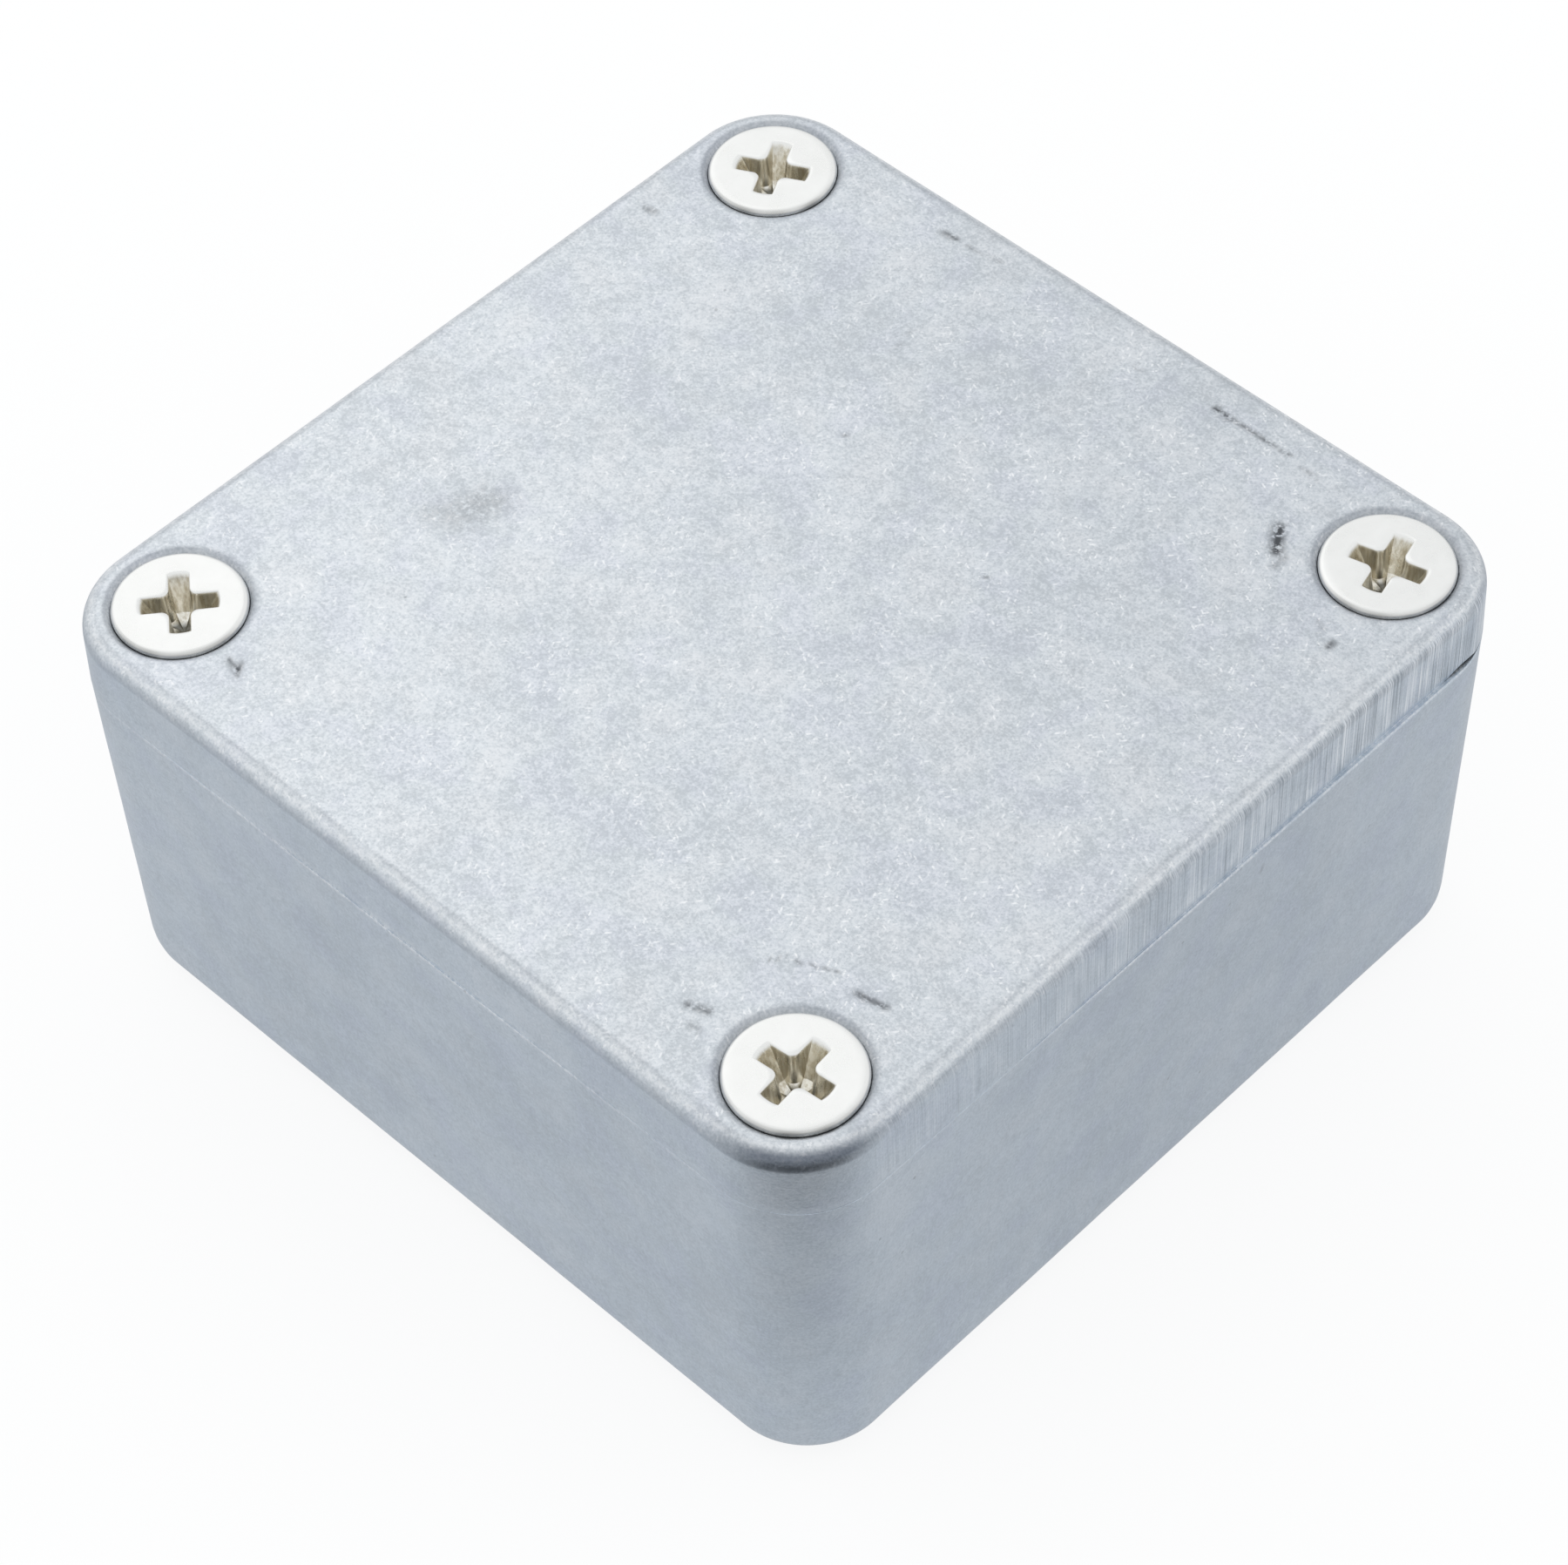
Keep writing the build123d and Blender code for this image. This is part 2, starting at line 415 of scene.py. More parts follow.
def lid_mesh():
    """Underside from its middle outwards, side band, rounded edge, top and four countersinks."""
    skin = Skin()
    plan = case_plan()

    # Underside: the dish, the lip round it, and the face that meets the box
    nose = PILLAR + DISH_INSET
    deep = DISH_INSET + (PLATE - LIP_LEVEL) * DRAFT
    dish = room_plan(deep + DISH_ROUND, LEAST_BLEND, nose)
    middle_out = [0, 0.05, 0.15, 0.3, 0.45, 0.6, 0.75, 0.9, 1]
    skin.add(between(at(dish * 0, PLATE), at(dish, PLATE), middle_out))
    walls = []
    for a in swept(0, 90, 4):
        wall = room_plan(deep + DISH_ROUND * (1 - sin(a)), LEAST_BLEND, nose)
        walls.append(at(wall, PLATE - DISH_ROUND * (1 - cos(a))))
    lip_blend, lip_nose = PILLAR_BLEND - LIP_CLEARANCE, PILLAR + LIP_CLEARANCE
    lip_foot = LIP_CLEARANCE + (PARTING - LIP_LEVEL) * DRAFT
    lip_root = at(room_plan(LIP_CLEARANCE, lip_blend, lip_nose), PARTING)
    skin.add(np.stack(walls + [
        at(room_plan(DISH_INSET, LEAST_BLEND, nose), LIP_LEVEL + SMALL_BREAK),
        at(room_plan(DISH_INSET - SMALL_BREAK, LEAST_BLEND, nose), LIP_LEVEL),
        at(room_plan(lip_foot + SMALL_BREAK, lip_blend, lip_nose), LIP_LEVEL),
        at(room_plan(lip_foot, lip_blend, lip_nose), LIP_LEVEL + SMALL_BREAK),
        lip_root,
    ]))

    # Side band between the worn edge at the parting line and the rounded edge of the top
    worn = parting_break(plan[0], LID_RIGHT_WORN, 11)
    seam = PARTING + SLIT * near(at(plan[0], PARTING), *SLIT_ENDS, 0.8)
    bottom = [(worn * (1 - cos(a)), seam + worn * (1 - sin(a))) for a in swept(90, 0, 4)]
    middle = TOP - LID_EDGE
    band = [((level - PARTING) * DRAFT, level) for level in np.linspace(PARTING + 0.5, middle, 12)]
    edge = [
        (LID_FLAT - LID_EDGE * cos(a), middle + LID_EDGE * sin(a)) for a in swept(DRAFT_DEGREES, 90, 11)
    ]
    sides = carried(plan, bottom + band[:-1] + edge)
    skin.add(sides)
    under, rim = sides[0], sides[-1]
    skin.all_corners(between(lip_root[:STRIP + 1], under[:STRIP + 1], evenly(RIM)), False)

    # Top: a middle, four strips and four corner cells, each about its countersink
    flat = rim[:STRIP + 1]
    inner = np.array(flat)
    inner[:, 1] = -CELL
    skin.all_corners(between(flat, inner, evenly(CELL_SIDE)), False)
    across = np.linspace(-CELL, CELL, STRIP + 1)
    skin.add(np.stack([at(np.stack([across, np.full(STRIP + 1, y)], 1), TOP) for y in across]), False)

    reach = HALF - LID_FLAT
    cell = np.concatenate([
        rim[STRIP:STRIP + BEND, :2], span((reach, -CELL), (CELL, -CELL), CELL_SIDE),
        span((CELL, -CELL), (CELL, -reach), CELL_SIDE),
    ])
    screw = (AXIS, -AXIS)
    spokes = (cell - screw) / np.linalg.norm(cell - screw, axis=1, keepdims=True)
    round_off = MOUTH + MOUTH_ROUND * tan(pi / 8)
    throat = TOP - (MOUTH - LID_HOLE)
    profile = [
        (round_off + MOUTH_ROUND * cos(a), TOP - MOUTH_ROUND * (1 - sin(a))) for a in swept(90, 135, 6)
    ] + [
        (radius, TOP - (MOUTH - radius))
        for radius in np.linspace(MOUTH - MOUTH_ROUND, LID_HOLE + THROAT_BREAK, 7)
    ] + [
        (LID_HOLE, throat - THROAT_BREAK), (LID_HOLE, (throat + PARTING) / 2),
        (LID_HOLE, PARTING + SMALL_BREAK), (LID_HOLE + SMALL_BREAK, PARTING),
    ]
    seat = turned(screw, spokes, profile)
    skin.all_corners(np.concatenate([
        between(at(cell, TOP), seat[0], evenly(18))[:-1], seat,
        between(seat[-1], meeting_cell(under, lip_root), evenly(RIM))[1:],
    ]))
    skin.points = [set_back(points) for points in skin.points]
    return skin.mesh("lid_casting")


def box_mesh():
    """Base from its middle outwards, drafted sides, meeting face, tapped holes, walls and floor."""
    skin = Skin()
    plan = case_plan()
    base = carried(plan, [(BASE_FLAT, 0)])[0]
    skin.add(between(base * 0, base, [0, 0.04, 0.12, 0.25, 0.4, 0.55, 0.7, 0.85, 1]))
    worn = parting_break(plan[0], BOX_RIGHT_WORN, 23)
    turn = [
        (BASE_FLAT - BASE_EDGE * cos(a), BASE_EDGE * (1 - sin(a))) for a in swept(90, DRAFT_DEGREES, 10)
    ]
    side = [((PARTING - level) * DRAFT, level) for level in np.linspace(turn[-1][1], PARTING - 0.5, 44)]
    side.append((BELOW_WEAR * DRAFT, PARTING - BELOW_WEAR))
    top = [(worn * share, PARTING - worn * (1 - share)) for share in evenly(4)]
    sides = carried(plan, turn + side[1:] + top)
    skin.add(sides)

    # Face that meets the lid, and the tapped holes
    outline = sides[-1]
    room = at(room_plan(0, PILLAR_BLEND, PILLAR), PARTING)
    skin.all_corners(between(outline[:STRIP + 1], room[:STRIP + 1], evenly(RIM)), False)
    screw = (AXIS, -AXIS)
    cell = meeting_cell(outline, room)
    spokes = cell[:, :2] - screw
    spokes /= np.linalg.norm(spokes, axis=1, keepdims=True)
    angle = np.arctan2(spokes[:, 1], spokes[:, 0])
    levels = np.arange(PARTING - TAPPED_MOUTH, PARTING - THREADED, -0.1)
    thread = []
    for level in levels:
        groove = TAPPED_GROOVE * (1 - np.cos(angle - 2 * pi * level / PITCH))
        thread.append((TAPPED + groove * min((PARTING - 0.2 - level) / 0.3, 1), level))
    hole = turned(screw, spokes, [
        (TAPPED + TAPPED_MOUTH, PARTING), *thread, (TAPPED, levels[-1] - 0.3), (TAPPED, TAPPED_BOTTOM),
        (0, TAPPED_BOTTOM - TAPPED / tan(radians(DRILL_POINT))),
    ])
    skin.all_corners(np.concatenate([between(cell, hole[0], evenly(RIM))[:-1], hole]))

    # Walls and floor of the room
    deep = (PARTING - FLOOR) * DRAFT
    walls = [
        at(room_plan((PARTING - level) * DRAFT, PILLAR_BLEND, PILLAR), level)
        for level in np.linspace(PARTING, FLOOR + FLOOR_ROUND, 11)
    ]
    for a in swept(0, 90, 5)[1:]:
        inward = FLOOR_ROUND * (1 - cos(a))
        foot = room_plan(deep + inward, PILLAR_BLEND - inward, PILLAR + inward)
        walls.append(at(foot, FLOOR + FLOOR_ROUND * (1 - sin(a))))
    skin.add(np.stack(walls))
    floor = walls[-1]
    skin.add(between(floor, floor * (0, 0, 1), [0, 0.08, 0.2, 0.35, 0.5, 0.65, 0.8, 0.92, 1]))
    return skin.mesh("box_casting")


def recess_loop(depth, ease):
    """Cross outline at a depth, anticlockwise; ease widens it.

    A quarter is the arm to the right: half a nose between two arms, a side, the arm's end
    (an arc about the screw), the other side and half a nose.
    """
    half = RECESS_ARM - depth * tan(radians(RECESS_TAPER)) + ease
    reach = RECESS_REACH - depth * tan(radians(RECESS_SLOPE)) + ease
    nose = RECESS_NOSE - ease
    root = half + nose
    tip = (reach ** 2 - half ** 2) ** 0.5
    swing = np.degrees(np.arcsin(half / reach))
    return all_round(np.concatenate([
        arc((root, -root), nose, 135, 90, 6), span((root, -half), (tip, -half), 9),
        arc((0, 0), reach, -swing, swing, 8), span((tip, half), (root, half), 9),
        arc((root, root), nose, 270, 225, 6),
    ]))


def screw_mesh(corner):
    """Screw from its tip up: thread, neck, head's cone, rim and top, and down into the recess."""
    skin = Skin()
    rim = recess_loop(0, 0.06)
    spokes = rim / np.linalg.norm(rim, axis=1, keepdims=True)
    angle = np.arctan2(spokes[:, 1], spokes[:, 0])
    rows = [(0, TIP), (SHANK * 0.45, TIP)]
    for level in np.arange(TIP + 0.02, NECK - 0.5, PITCH / 8):
        phase = (level / PITCH - angle / (2 * pi)) % 1
        ridge = np.clip(1.25 - np.abs(2 * phase - 1) * 1.5, 0, 1)
        start = min((level - TIP + 0.35) / 0.8, 1)
        end = min((NECK - UNDERCUT - level) / 0.5, 1)
        depth = (SHANK - THREAD_ROOT) * start
        rows.append((SHANK * start ** 0.3 - depth * (1 - ridge * end) - 0.3 * (1 - start), level))
    seat = HEAD_TOP - HEAD_RIM
    rows += [(THREAD_ROOT, NECK - UNDERCUT), (THREAD_ROOT + 0.1, NECK - 0.18), (SHANK, NECK)]
    rows += [(HEAD - (seat - level), level) for level in np.linspace(NECK, seat, 6)[1:]]
    rows += [
        (HEAD - HEAD_ROUND * (1 - cos(a)), HEAD_TOP - HEAD_ROUND * (1 - sin(a)))
        for a in swept(0, 90, 5)
    ]
    body = turned((0, 0), spokes, rows)
    recess = [at(rim, HEAD_TOP), at(recess_loop(0, 0.02), HEAD_TOP - 0.03)] + [
        at(recess_loop(depth, 0), HEAD_TOP - depth) for depth in np.linspace(0.09, RECESS_DEPTH, 12)
    ]
    pit = recess[-1] * (0, 0, 1) - (0, 0, RECESS_PIT)
    skin.add(np.concatenate([
        body, between(body[-1], recess[0], evenly(8))[1:-1], recess,
        between(recess[-1], pit, [0.4, 0.75, 1]),
    ]))
    turn = radians(RECESS_TURN[corner])
    across, along = cos(turn), sin(turn)
    place = quarter_turn(np.array([AXIS, -AXIS]), CORNERS[corner])
    skin.points = [
        points @ np.array([[across, along, 0], [-along, across, 0], [0, 0, 1]]) + (*place, 0)
        for points in skin.points
    ]
    return skin.mesh(f"countersunk_{corner}")


class Finish:
    """Short way to write the nodes of a material or a world; place is their coordinates."""

    def __init__(self, owner, coordinates="Object"):
        owner.use_nodes = True
        self.material = owner
        self.nodes, self.links = owner.node_tree.nodes, owner.node_tree.links
        self.shader = self.nodes.get("Principled BSDF")
        self.place = self.nodes.new("ShaderNodeTexCoord").outputs[coordinates]

    def into(self, socket, value):
        """Link another node's output to the socket, or set a constant on it."""
        if isinstance(value, bpy.types.NodeSocket):
            self.links.new(value, socket)
        elif isinstance(value, tuple) and len(value) == 3 and socket.type == "RGBA":
            socket.default_value = (*value, 1)
        else:
            socket.default_value = value

    def node(self, kind, settings=(), **inputs):
        """New node of a kind; an input goes by its label, or by its number with _ before it."""
        made = self.nodes.new("ShaderNode" + kind)
        for key, value in dict(settings).items():
            setattr(made, key, value)
        for key, value in inputs.items():
            self.into(made.inputs[int(key[1:]) if key[1:].isdigit() else key.replace("_", " ")], value)
        return made

    def math(self, operation, first, second=0.0, clamp=False):
        settings = {"operation": operation, "use_clamp": clamp}
        return self.node("Math", settings, _0=first, _1=second).outputs[0]

    def product(self, first, second, clamp=False):
        return self.math("MULTIPLY", first, second, clamp)

    def larger(self, first, second):
        return self.math("MAXIMUM", first, second)

    def total(self, *parts):
        """Sum of weight times value over the (value, weight) parts."""
        done = 0.0
        settings = {"operation": "MULTIPLY_ADD"}
        for value, weight in parts:
            done = self.node("Math", settings, _0=value, _1=weight, _2=done).outputs[0]
        return done

    def noise(self, size, detail=2.0, rough=0.5, place=None):
        """Noise with features of about that size in millimetres."""
        return self.node(
            "TexNoise", Vector=place or self.place, Scale=1 / (size * MM), Detail=detail,
            Roughness=rough,
        ).outputs["Fac"]

    def spots(self, size, place=None):
        """Distance from the middle of the nearest of many scattered cells, over their size."""
        cells = self.node("TexVoronoi", Vector=place or self.place, Scale=1 / (size * MM))
        return cells.outputs["Distance"]

    def stretched(self, turn, size, bend=None):
        """Coordinates turned by angles in degrees and divided by the three sizes in millimetres.

        A bend, 0 to 1, first shifts them by up to 0.3 mm, so that straight streaks curve.
        """
        place = self.place
        if bend is not None:
            place = self.node(
                "VectorMath", {"operation": "MULTIPLY_ADD"}, _0=bend, _1=(0.3 * MM,) * 3, _2=place,
            ).outputs[0]
        turned_place = self.node(
            "VectorRotate", {"rotation_type": "EULER_XYZ"}, Vector=place,
            Rotation=tuple(radians(a) for a in turn),
        ).outputs[0]
        return self.node("VectorMath", {"operation": "MULTIPLY"}, _0=turned_place,
                         _1=tuple(1 / (s * MM) for s in size)).outputs[0]

    def along(self, direction):
        """How far the place lies along a direction."""
        settings = {"operation": "DOT_PRODUCT"}
        return self.node("VectorMath", settings, _0=self.place, _1=direction).outputs["Value"]

    def ramp(self, value, low, high, start=0.0, end=1.0):
        """start up to low, end from high, and smooth between."""
        return self.node("MapRange", {"interpolation_type": "SMOOTHSTEP"}, Value=value, From_Min=low,
                         From_Max=high, To_Min=start, To_Max=end).outputs[0]

    def mix(self, share, first, second, blend="MIX"):
        """Colour mix; this node takes its colours in at 6 and 7, and gives one out at 2."""
        settings = {"data_type": "RGBA", "blend_type": blend}
        return self.node("Mix", settings, _0=share, _6=first, _7=second).outputs[2]

    def shades(self, value, *stops):
        """Colour ramp over (position, colour) stops."""
        made = self.node("ValToRGB", Fac=value)
        ramp = made.color_ramp
        while len(ramp.elements) < len(stops):
            ramp.elements.new(0.5)
        for element, (position, colour) in zip(ramp.elements, stops):
            element.position, element.color = position, (*colour, 1)
        return made.outputs[0]

    def layer(self, name):
        """The value that the mesh gives at each point under that name."""
        return self.node("Attribute", {"attribute_name": name}).outputs["Fac"]

    def bump(self, height, distance):
        """Fine relief: height times the distance in millimetres."""
        made = self.node("Bump", Height=height, Distance=distance * MM)
        self.into(self.shader.inputs["Normal"], made.outputs[0])

    def metal(self, colour, rough):
        """Colour and roughness into the shader, as a metal's."""
        self.into(self.shader.inputs["Base Color"], colour)
        self.into(self.shader.inputs["Roughness"], rough)
        self.shader.inputs["Metallic"].default_value = 1.0


# The studio is open towards the front right corner, and metal that faces it mirrors the dark there
OPEN_SIDE = (0.707, -0.707, 0.0)
ACROSS = (0.707, 0.707, 0.0)
UPWARD = (0.0, 0.0, 1.0)
DARK_LEVEL = 0.06
WORLD_LEVEL = 0.93
FLOOR_LEVEL = 1.06      # as the camera sees it
MIRRORED_FLOOR = 0.79   # as the metal sees it

# Bare casting, its colours before light
CAST_TONES = ((0.455, 0.515, 0.582), (0.548, 0.615, 0.690), (0.642, 0.708, 0.784))
WARMER = (1.03, 0.995, 0.975)
COOLER = (0.985, 0.975, 1.01)
TOP_LIGHT_LEFT = (1.26, 1.18, 1.105)      # painted light on the scuffed top, towards its front left corner
TOP_LIGHT_RIGHT = (1.11, 1.045, 0.99)     # and weaker painted light towards its rear right corner
HAIR = (0.95, 0.96, 0.98)
FLECK = (0.98, 0.985, 1.0)
HIGHLIGHT_AND_WEAR = (0.95, 0.96, 0.975)
# Painted shade, multiplied in on the lid's edge and mouths and on the box's right side
PAINTED_SHADE_TONE = (0.31, 0.325, 0.36)
GRIME_AND_SHADE = (0.09, 0.095, 0.105)
LINE_DARK = (0.26, 0.30, 0.35)
LINE_PALE = (0.88, 0.92, 0.97)

# Nickel plating, from its darker to its paler tone, and the same for the brown in the recess
NICKEL_TONES = ((0.86, 0.855, 0.838), (0.91, 0.905, 0.89))
BROWN_TONES = ((0.63, 0.575, 0.46), (0.95, 0.925, 0.85))
RECESS_DARK = (0.06, 0.06, 0.05)

# How hairs and flecks lie on the lid's top: turns in degrees, and sizes in mm
HAIR_TURNS = [(12, 5, 8), (8, -18, 75), (-10, -14, 142)]
HAIR_SIZE = (0.9, 0.06, 0.35)
FLECK_TURNS = [(6, 4, 24), (4, -6, 66), (-7, 5, 130)]
FLECK_SIZE = (1.05, 0.32, 0.80)

# The size to ask of a noise over stretched coordinates, which a size has already divided
UNIT = 1 / MM


def cast_metal(name, tumbled):
    """Bare casting: clouds, blotches and grain, dark pits, stains, painted shade, and worn places
    with painted highlights.

    A tumbled one also has short bright scratches and painted light, strong where the top's layer
    is 1, as on the lid's top, and a cutter's upright marks where the layer "lined" is.
    """
    finish = Finish(bpy.data.materials.new(name))
    cloud = finish.noise(7.0, 2, 0.6)
    blotch = finish.noise(2.0, 3, 0.6)
    mottle = finish.noise(0.55, 3, 0.6)
    grain = finish.noise(0.14, 1, 0.6)
    broad = finish.total((cloud, 0.45), (blotch, 0.5), (1.0, -0.475))
    close = finish.total((mottle, 0.5), (grain, 0.65), (1.0, -0.575))
    if tumbled:
        scuffed_and_lit = finish.layer("scuffed_and_lit")
        broad = finish.product(broad, finish.ramp(scuffed_and_lit, 0, 1, 0.62, 0.75))
        close = finish.product(close, finish.ramp(scuffed_and_lit, 0, 1, 0.7, 1.30))
    tone = finish.total((broad, 1.0 if tumbled else 0.62), (close, 1.0 if tumbled else 0.7))
    dark, middle, light = CAST_TONES
    colour = finish.shades(finish.ramp(tone, -0.3, 0.3), (0.0, dark), (0.5, middle), (1.0, light))
    tint = finish.noise(3.5, 2, 0.6)
    colour = finish.mix(finish.ramp(tint, 0.48, 0.66, 0.0, 0.28), colour, WARMER, "MULTIPLY")
    colour = finish.mix(finish.ramp(tint, 0.50, 0.37, 0.0, 0.5), colour, COOLER, "MULTIPLY")
    rough = finish.total((mottle, 0.16), (blotch, 0.10), (1.0, 0.27))
    # Painted light on the lid's top, with its hairs and flecks
    if tumbled:
        colour, rough = lit_scuffed_top(finish, colour, rough, scuffed_and_lit, blotch, grain)

    # Painted highlights, partly on real wear, on the lid's top edge and the parting line; the box paler
    # at its foot
    crumbs = finish.noise(0.20, 2, 0.7)
    worn = finish.product(finish.layer("worn"), finish.ramp(crumbs, 0.40, 0.60, 0.20, 1.0))
    colour = finish.mix(finish.product(worn, 0.62), colour, HIGHLIGHT_AND_WEAR)
    # Painted shade: darker on the lid's near corner, edge foot, inner line and mouths, and the box's
    # right side
    colour = finish.mix(finish.layer("painted_shade"), colour, PAINTED_SHADE_TONE, "MULTIPLY")
    # Stains, marks and pits, with painted shade in the lid's countersinks round the heads
    smudge = finish.noise(0.34, 2, 0.7)
    stain_and_shade = finish.product(finish.layer("stain_and_shade"), finish.ramp(smudge, 0.32, 0.54, 0.10, 1.15), True)
    pits = finish.product(finish.ramp(finish.spots(1.3), 0.09, 0.05), finish.ramp(cloud, 0.55, 0.68))
    colour = finish.mix(finish.larger(stain_and_shade, finish.product(pits, 0.3)), colour, GRIME_AND_SHADE)
    if tumbled:
        colour = cutter_lines(finish, colour)
    finish.metal(colour, finish.total((worn, 0.12), (rough, 1.0)))
    finish.bump(finish.total((grain, 0.8), (mottle, 1.6)), 0.012)
    return finish.material


def lit_scuffed_top(finish, colour, rough, scuffed_and_lit, blotch, grain):
    """Colour and roughness: the scuffed top painted lighter, with faint hairs and short bright flecks.
    """
    # Painted light: the top made lighter, more so towards its front left corner
    sideways = finish.ramp(finish.along(ACROSS), -0.030, 0.030)
    top_light = finish.mix(sideways, TOP_LIGHT_LEFT, TOP_LIGHT_RIGHT)
    colour = finish.mix(scuffed_and_lit, colour, top_light, "MULTIPLY")
    hairs, flecks, bend = 0.0, 0.0, finish.noise(0.9, 0, 0.5)
    for turn in HAIR_TURNS:
        streak = finish.noise(UNIT, 0, 0.4, finish.stretched(turn, HAIR_SIZE, bend))
        hairs = finish.larger(finish.ramp(streak, 0.68, 0.82), hairs)
    for turn in FLECK_TURNS:
        spot = finish.spots(UNIT, finish.stretched(turn, FLECK_SIZE))
        flecks = finish.larger(finish.ramp(spot, 0.23, 0.09), flecks)

    # Crowded in patches, and less so away from the near corner
    handled = finish.ramp(finish.along(OPEN_SIDE), -0.032, -0.004, 0.5, 1.0)
    crowded = finish.product(finish.ramp(blotch, 0.38, 0.60, 0.25, 1.0), handled)
    flecks = finish.product(flecks, finish.product(crowded, finish.ramp(grain, 0.30, 0.55)))
    hairs = finish.product(hairs, crowded)
    hairs = finish.product(hairs, finish.ramp(scuffed_and_lit, 0, 1, 0.08, 0.22))
    colour = finish.mix(hairs, colour, HAIR)
    share = finish.product(flecks, finish.ramp(scuffed_and_lit, 0, 1, 0.10, 0.75))
    return finish.mix(share, colour, FLECK), finish.total((flecks, 0.10), (rough, 1.0))


def cutter_lines(finish, colour):
    """Dark and pale upright lines, broken up along their length, where the layer "lined" is."""
    fine = finish.noise(UNIT, 2, 0.7, finish.stretched((0, 0, 0), (9.0, 0.07, 12.0)))
    broken = finish.noise(UNIT, 1, 0.6, finish.stretched((0, 0, 0), (9.0, 1.2, 2.5)))
    lines = finish.total((fine, 1.0), (broken, 0.35), (1.0, -0.675))
    lined = finish.layer("lined")
    share = finish.product(lined, finish.ramp(lines, -0.03, -0.20, 0.0, 0.85))
    colour = finish.mix(share, colour, LINE_DARK)
    share = finish.product(lined, finish.ramp(lines, 0.01, 0.17, 0.0, 0.9))
    return finish.mix(share, colour, LINE_PALE)


def plated_metal(name):
    """Pale nickel: faint clouds and hairlines, brown in upright stripes down in the recess."""
    finish = Finish(bpy.data.materials.new(name))
    cloud = finish.noise(1.6, 3, 0.6)
    fine = finish.noise(0.12, 2, 0.5)
    colour = finish.shades(cloud, (0.3, NICKEL_TONES[0]), (0.7, NICKEL_TONES[1]))
    stripes = finish.noise(UNIT, 2, 0.6, finish.stretched((0, 0, 0), (0.20, 0.20, 3.0)))
    brown = finish.shades(stripes, (0.36, BROWN_TONES[0]), (0.60, BROWN_TONES[1]))
    colour = finish.mix(finish.product(finish.layer("deep"), 0.9), colour, brown)
    # Darker in the recess's pit, and painted shade on the head's rim on the open side
    colour = finish.mix(finish.product(finish.layer("dark_pit_and_rim_shade"), 0.85), colour, RECESS_DARK)
    finish.metal(colour, finish.total((cloud, 0.10), (fine, 0.08), (1.0, 0.20)))
    finish.bump(finish.total((fine, 0.12), (cloud, 1.0)), 0.004)
    return finish.material


def on_front(points):
    """1 on the case's front side, which is on the left in the photograph."""
    return points[:, 1] < -24


def on_right(points):
    """1 on the case's right side."""
    return points[:, 0] > 24


def lid_layers(points):
    """Where the lid is scuffed by tumbling and painted lighter, has painted shade and highlights, is
    worn, stained, lined.
    """
    inset, level, away = inset_of(points), points[:, 2], from_screw(points)
    on_top = np.clip((level - TOP + 1.0) / 0.5, 0, 1)
    corner = by_near_corner(points)

    # Painted highlight, partly on real wear, along the top's edge, and a faint painted highlight along
    # a line inside it
    edge = hump(inset, 0.48 + 0.03 * ripple(points, 5, 41) + 0.36 * corner, 0.13) * on_top
    edge += 0.35 * hump(inset, 1.2 + 0.06 * ripple(points, 4, 6), 0.1) * on_top * (1 - corner)

    # Painted shade on a line between the two, at the edge's foot, round the near corner and at the
    # mouths
    stronger = 1 + 0.7 * on_front(points)
    line = 0.19 * stronger * hump(inset, 0.77 + 0.03 * ripple(points, 2.5, 15), 0.11) * on_top
    line *= (1 - corner) * (0.8 + 0.5 * ripple(points, 3, 5))
    foot = 0.24 * hump(inset, np.where(on_right(points), 0.23, 0.11), 0.11)
    crescent = 1.1 * corner * hump(inset, 0.36, 0.28)
    mouth = 0.45 * hump(away, 3.55, 0.16) * (level > TOP - 0.6) * (1 - 0.5 * corner)
    painted_shade = (crescent + foot) * (level > TOP - 0.9) + line + mouth

    # Painted shade in each countersink, round the head, below the top
    crevice_shade = 0.25 * (away < 3.6) * np.clip((TOP - 0.05 - level) / 0.15, 0, 1)

    # Cutter's lines on the sanded band, more of them towards the rear, and none at its front end
    band = (points[:, 0] > 24.3) * (level > PARTING + 0.05) * np.clip((24.70 - level) / 0.06, 0, 1)
    to_rear = np.clip((points[:, 1] + 12) / 24, 0, 1)
    begun = np.clip((points[:, 1] + 21) / 2, 0, 1)
    return {
        # The top and the upper part of its edge: scuffed, and painted lighter
        "scuffed_and_lit": np.clip((level - TOP + 0.9) / 0.8, 0, 1),
        "painted_shade": np.clip(painted_shade, 0, 1),
        # Painted highlights, partly on real wear, along the top's edge and the parting line
        "worn": np.clip(edge + seam_highlight(points), 0, 1),
        "stain_and_shade": np.clip(crevice_shade + marked(points, darkness=True), 0, 1),
        "lined": band * (0.3 + 0.7 * to_rear) * begun,
    }


def seam_highlight(points):
    """Painted highlight on the parting line's worn edge, about the front's middle and on most of the
    right.
    """
    inset, level = inset_of(points), points[:, 2]
    front = on_front(points) * hump(points[:, 0], -2, 13)
    right = on_right(points) * np.clip((points[:, 1] + 10) / 12, 0, 1)
    broken = np.clip(0.75 + 0.8 * ripple(at(points[:, :2], PARTING), 1.6, 31), 0.1, 1)
    share = 0.45 * (1 - by_near_corner(points)) + (2.4 * front + 1.9 * right) * broken
    return hump(level, PARTING - 0.08, 0.09) * (inset < 0.6) * share


def off_parting(points):
    """1, but 0.2 on the two faces that meet, which stay together."""
    return np.where(np.abs(points[:, 2] - PARTING) < 0.01, 0.2, 1)


